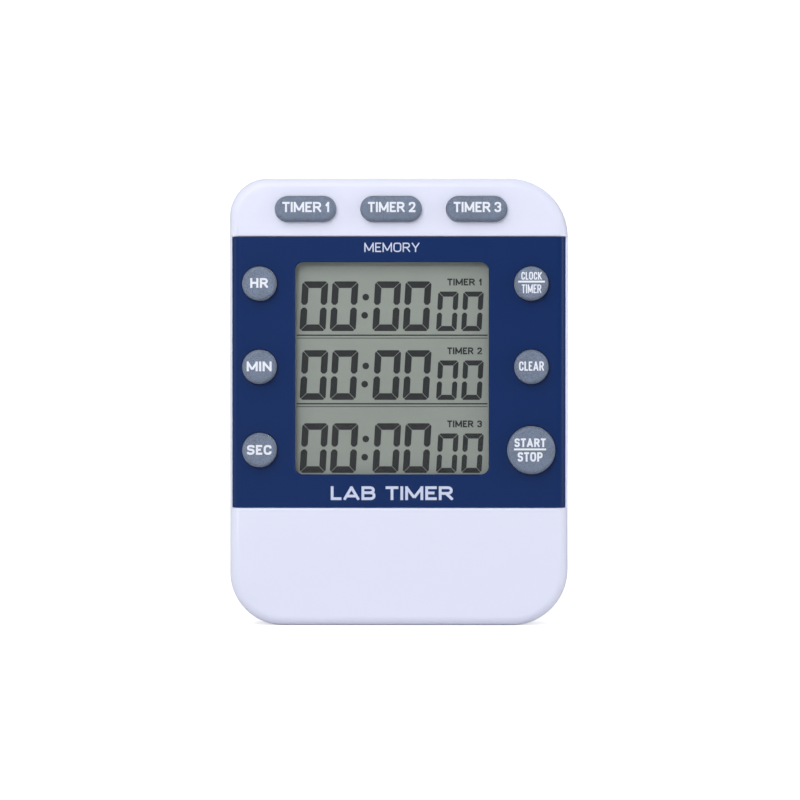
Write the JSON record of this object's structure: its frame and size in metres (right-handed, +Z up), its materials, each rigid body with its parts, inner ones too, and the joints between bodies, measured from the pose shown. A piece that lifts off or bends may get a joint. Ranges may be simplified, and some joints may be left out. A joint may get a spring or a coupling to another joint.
{
  "type": "lab timer",
  "caption": "Flat upright digital timer with a recessed display, push buttons on both sides and along the top, a fold-out stand and a hinged battery door on the back.",
  "frame": {"origin": "centre of the footprint of the upright timer, on the surface that it stands on", "axes": "+Z up, +X to the right of the person who reads the display, -Y towards that person"},
  "size_m": [0.076, 0.021, 0.1006],
  "materials": {
    "case_white": "glossy white with a faint lavender tint",
    "panel_blue": "satin navy blue",
    "key_silicone": "matte grey-blue silicone with a fine speckle",
    "carbon": "matte black",
    "clear_window": "clear acrylic",
    "lcd_film": "grey-green film",
    "lcd_glass": "clear glass",
    "lcd_back": "satin grey-green reflector",
    "holder_white": "white moulded plastic",
    "zebra": "layered elastomer",
    "board_green": "green solder mask",
    "pad_gold": "gold-plated copper",
    "epoxy_black": "black epoxy",
    "can_steel": "bright steel",
    "can_aluminium": "bright can",
    "chip_parts": "dark ceramic",
    "buzzer_brass": "brass disc",
    "buzzer_ceramic": "silvered ceramic",
    "wire_red": "red insulation",
    "wire_black": "black insulation",
    "magnet_plate": "nickel-plated magnet",
    "battery_label": "plain printed film",
    "contact_nickel": "nickel-plated steel",
    "screw_steel": "zinc-plated steel",
    "stand_grey": "satin white moulded plastic"
  },
  "bodies": {
    "case": {"front_cover": "case_white", "rear_cover": "case_white", "front_panel": "panel_blue", "case_screws": "screw_steel", "board_screws": "screw_steel", "display_window": "clear_window", "lcd_polariser": "lcd_film", "lcd_front_glass": "lcd_glass", "lcd_rear_glass": "lcd_glass", "lcd_reflector": "lcd_back", "lcd_holder": "holder_white", "zebra_strip_top": "zebra", "zebra_strip_bottom": "zebra", "keypad_mat": "key_silicone", "main_board": "board_green", "key_contact_pads": "pad_gold", "chip_coating": "epoxy_black", "crystal": "can_steel", "capacitor": "can_aluminium", "surface_mount_parts": "chip_parts", "buzzer_plate": "buzzer_brass", "buzzer_ceramic": "buzzer_ceramic", "buzzer_wire_red": "wire_red", "buzzer_wire_black": "wire_black", "magnets": "magnet_plate", "battery_cell": "can_steel", "battery_sleeve": "battery_label", "positive_contact": "contact_nickel", "negative_contact": "contact_nickel", "battery_spring": "contact_nickel", "battery_wire_red": "wire_red", "battery_wire_black": "wire_black"},
    "timer_1_button": {"timer_1_button": "key_silicone", "timer_1_button_contact": "carbon"},
    "timer_2_button": {"timer_2_button": "key_silicone", "timer_2_button_contact": "carbon"},
    "timer_3_button": {"timer_3_button": "key_silicone", "timer_3_button_contact": "carbon"},
    "hour_button": {"hour_button": "key_silicone", "hour_button_contact": "carbon"},
    "minute_button": {"minute_button": "key_silicone", "minute_button_contact": "carbon"},
    "second_button": {"second_button": "key_silicone", "second_button_contact": "carbon"},
    "clock_timer_button": {"clock_timer_button": "key_silicone", "clock_timer_button_contact": "carbon"},
    "clear_button": {"clear_button": "key_silicone", "clear_button_contact": "carbon"},
    "start_stop_button": {"start_stop_button": "key_silicone", "start_stop_button_contact": "carbon"},
    "stand": {"stand": "stand_grey"},
    "battery_door": {"battery_door": "case_white"}
  },
  "joints": [
    {"name": "timer_1_button_press", "type": "slide", "parent": "case", "child": "timer_1_button", "axis": [0, 1, 0], "range_m": [0, 0.001], "stiffness_N_per_m": 500},
    {"name": "timer_2_button_press", "type": "slide", "parent": "case", "child": "timer_2_button", "axis": [0, 1, 0], "range_m": [0, 0.001], "stiffness_N_per_m": 500},
    {"name": "timer_3_button_press", "type": "slide", "parent": "case", "child": "timer_3_button", "axis": [0, 1, 0], "range_m": [0, 0.001], "stiffness_N_per_m": 500},
    {"name": "hour_button_press", "type": "slide", "parent": "case", "child": "hour_button", "axis": [0, 1, 0], "range_m": [0, 0.001], "stiffness_N_per_m": 500},
    {"name": "minute_button_press", "type": "slide", "parent": "case", "child": "minute_button", "axis": [0, 1, 0], "range_m": [0, 0.001], "stiffness_N_per_m": 500},
    {"name": "second_button_press", "type": "slide", "parent": "case", "child": "second_button", "axis": [0, 1, 0], "range_m": [0, 0.001], "stiffness_N_per_m": 500},
    {"name": "clock_timer_button_press", "type": "slide", "parent": "case", "child": "clock_timer_button", "axis": [0, 1, 0], "range_m": [0, 0.001], "stiffness_N_per_m": 500},
    {"name": "clear_button_press", "type": "slide", "parent": "case", "child": "clear_button", "axis": [0, 1, 0], "range_m": [0, 0.001], "stiffness_N_per_m": 500},
    {"name": "start_stop_button_press", "type": "slide", "parent": "case", "child": "start_stop_button", "axis": [0, 1, 0], "range_m": [0, 0.001], "stiffness_N_per_m": 500},
    {"name": "stand_hinge", "type": "hinge", "parent": "case", "child": "stand", "pos_m": [0, 0.0092, 0.0704], "axis": [1, 0, 0], "range_deg": [0, 60]},
    {"name": "battery_door_hinge", "type": "hinge", "parent": "case", "child": "battery_door", "pos_m": [0, 0.0097, 0.0077], "axis": [-1, 0, 0], "range_deg": [0, 80]}
  ]
}
